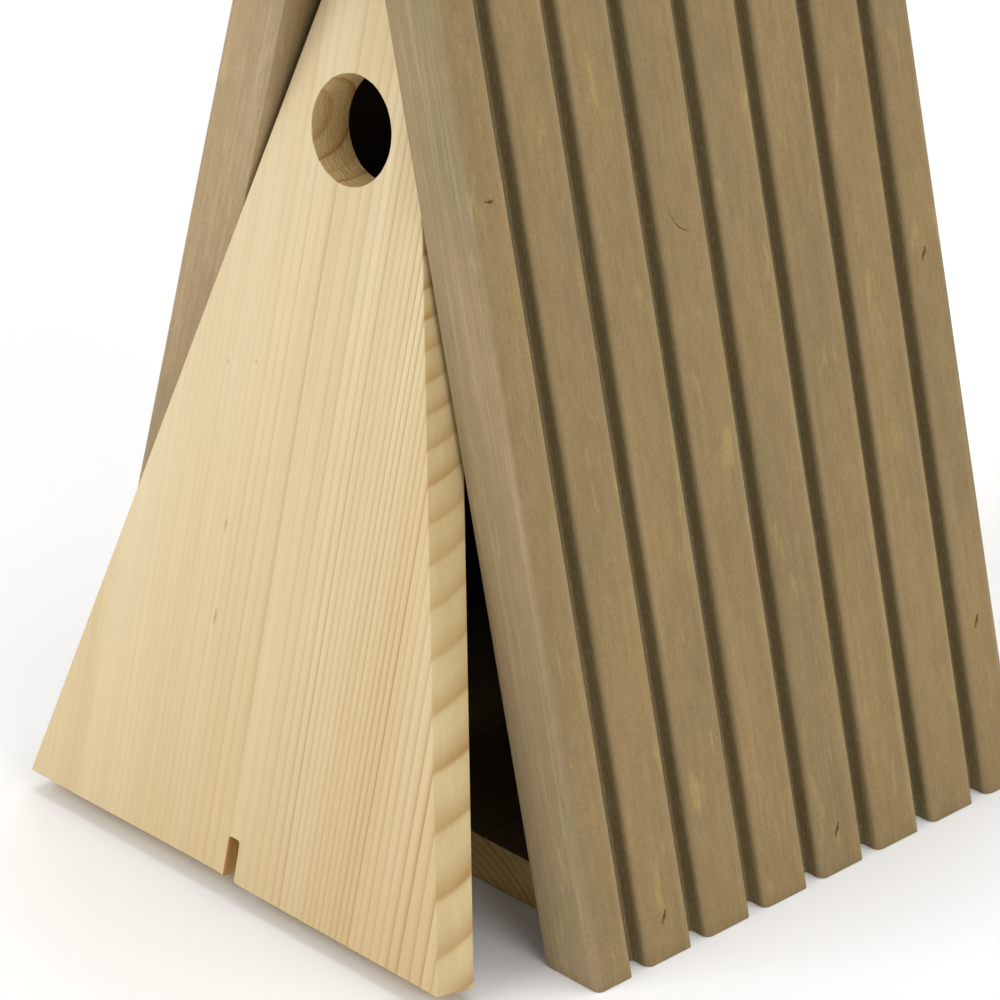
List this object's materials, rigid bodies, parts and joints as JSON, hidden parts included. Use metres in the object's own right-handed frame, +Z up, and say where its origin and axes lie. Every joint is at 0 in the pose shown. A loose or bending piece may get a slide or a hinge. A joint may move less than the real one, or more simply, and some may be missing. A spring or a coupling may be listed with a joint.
{
  "type": "insect hotel",
  "caption": "A-frame wooden insect house with grooved stained roof boards and a pale front panel that tilts open on nails, with a round entrance hole.",
  "frame": {"origin": "middle of the roof's footprint, on the surface that the hotel stands on (the floor board's underside)", "axes": "+Z up; -Y is the front with the entrance hole; X runs across the front"},
  "size_m": [0.2228, 0.2241, 0.42],
  "materials": {
    "pine": "planed untreated softwood, matt, pale cream with fine growth lines",
    "stained_wood": "matt grey-brown stain on fine straight-grained softwood",
    "steel": "plain steel nails and bent wire, slightly dull",
    "zinc_plate": "zinc-plated sheet and screws, satin"
  },
  "bodies": {
    "root": {"roof_board_right": "stained_wood", "roof_board_left": "stained_wood", "back_panel": "pine", "floor_board": "pine", "pivot_nail_left": "steel", "pivot_nail_right": "steel", "floor_brad_left_1": "steel", "floor_brad_left_2": "steel", "floor_brad_right_1": "steel", "floor_brad_right_2": "steel", "back_brad_left_1": "steel", "back_brad_left_2": "steel", "back_brad_left_3": "steel", "back_brad_right_1": "steel", "back_brad_right_2": "steel", "back_brad_right_3": "steel", "ridge_brad_1": "steel", "ridge_brad_2": "steel", "ridge_brad_3": "steel", "hanger_plate": "zinc_plate", "hanger_screw_top": "zinc_plate", "hanger_screw_bottom": "zinc_plate"},
    "front_panel": {"front_panel": "pine"},
    "turn_hook": {"turn_hook": "steel"}
  },
  "joints": [
    {"name": "front_tilt", "type": "hinge", "parent": "root", "child": "front_panel", "pos_m": [0, -0.08315, 0.2275], "axis": [-1, 0, 0], "range_deg": [-12, 33]},
    {"name": "lock_turn", "type": "hinge", "parent": "root", "child": "turn_hook", "pos_m": [0, -0.07095, 0.006], "axis": [0, -1, 0], "range_deg": [0, 90]}
  ]
}
